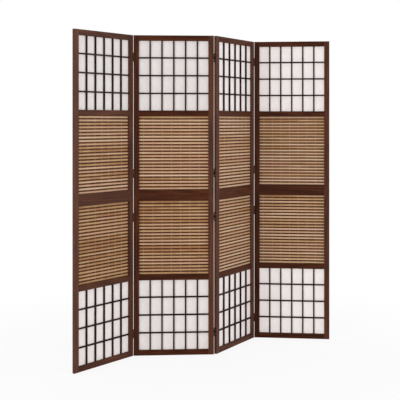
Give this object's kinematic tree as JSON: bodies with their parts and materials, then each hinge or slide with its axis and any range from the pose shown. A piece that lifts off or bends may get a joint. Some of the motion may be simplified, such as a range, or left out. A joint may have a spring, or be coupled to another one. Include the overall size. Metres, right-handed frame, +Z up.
{
  "type": "folding screen",
  "caption": "Folding room screen: dark wood panels with paper windows behind lattices and woven slat mats, joined in a zigzag by butt hinges.",
  "frame": {"origin": "centre of the floor rectangle round the standing screen, on the floor", "axes": "+Z up; +X along the row of panels from the left end to the right end as seen from the front; +Y towards the back, so the lattices are at the -Y side of the paper"},
  "size_m": [1.5822, 0.2532, 1.75],
  "materials": {
    "frame_wood": "satin stain on open-grained softwood",
    "lattice_wood": "dark satin stain",
    "tongue_wood": "unstained",
    "paper": "matte off-white paper with fibres",
    "slat_wood": "matte pale split wood",
    "weft_wood": "matte dark brown split wood",
    "bead_wood": "satin stain",
    "hinge_metal": "dark bronzed steel",
    "pin_metal": "dark bronzed steel"
  },
  "bodies": {
    "panel_1": {"panel_1_lower_stiles": "frame_wood", "panel_1_lower_rails": "frame_wood", "panel_1_upper_stiles": "frame_wood", "panel_1_upper_rails": "frame_wood", "panel_1_joining_tongues": "tongue_wood", "panel_1_lattice_uprights": "lattice_wood", "panel_1_lattice_crossbars": "lattice_wood", "panel_1_paper": "paper", "panel_1_slats": "slat_wood", "panel_1_slat_weft": "weft_wood", "panel_1_mat_beads": "bead_wood", "hinges_1_2_leaves_on_panel_1": "hinge_metal"},
    "panel_2": {"panel_2_lower_stiles": "frame_wood", "panel_2_lower_rails": "frame_wood", "panel_2_upper_stiles": "frame_wood", "panel_2_upper_rails": "frame_wood", "panel_2_joining_tongues": "tongue_wood", "panel_2_lattice_uprights": "lattice_wood", "panel_2_lattice_crossbars": "lattice_wood", "panel_2_paper": "paper", "panel_2_slats": "slat_wood", "panel_2_slat_weft": "weft_wood", "panel_2_mat_beads": "bead_wood", "hinges_1_2_leaves_on_panel_2": "hinge_metal", "hinges_1_2_pins": "pin_metal", "hinges_2_3_leaves_on_panel_2": "hinge_metal", "hinges_2_3_pins": "pin_metal"},
    "panel_3": {"panel_3_lower_stiles": "frame_wood", "panel_3_lower_rails": "frame_wood", "panel_3_upper_stiles": "frame_wood", "panel_3_upper_rails": "frame_wood", "panel_3_joining_tongues": "tongue_wood", "panel_3_lattice_uprights": "lattice_wood", "panel_3_lattice_crossbars": "lattice_wood", "panel_3_paper": "paper", "panel_3_slats": "slat_wood", "panel_3_slat_weft": "weft_wood", "panel_3_mat_beads": "bead_wood", "hinges_2_3_leaves_on_panel_3": "hinge_metal", "hinges_3_4_leaves_on_panel_3": "hinge_metal", "hinges_3_4_pins": "pin_metal"},
    "panel_4": {"panel_4_lower_stiles": "frame_wood", "panel_4_lower_rails": "frame_wood", "panel_4_upper_stiles": "frame_wood", "panel_4_upper_rails": "frame_wood", "panel_4_joining_tongues": "tongue_wood", "panel_4_lattice_uprights": "lattice_wood", "panel_4_lattice_crossbars": "lattice_wood", "panel_4_paper": "paper", "panel_4_slats": "slat_wood", "panel_4_slat_weft": "weft_wood", "panel_4_mat_beads": "bead_wood", "hinges_3_4_leaves_on_panel_4": "hinge_metal"}
  },
  "joints": [
    {"name": "hinge_1_2", "type": "hinge", "parent": "panel_2", "child": "panel_1", "pos_m": [-0.38455, 0.05713, 0.875], "axis": [0, 0, 1], "range_deg": [-48.3, 131.7]},
    {"name": "hinge_2_3", "type": "hinge", "parent": "panel_2", "child": "panel_3", "pos_m": [0.02745, -0.10129, 0.875], "axis": [0, 0, 1], "range_deg": [-55, 125]},
    {"name": "hinge_3_4", "type": "hinge", "parent": "panel_3", "child": "panel_4", "pos_m": [0.41339, 0.11293, 0.875], "axis": [0, 0, 1], "range_deg": [-115.4, 64.6]}
  ]
}
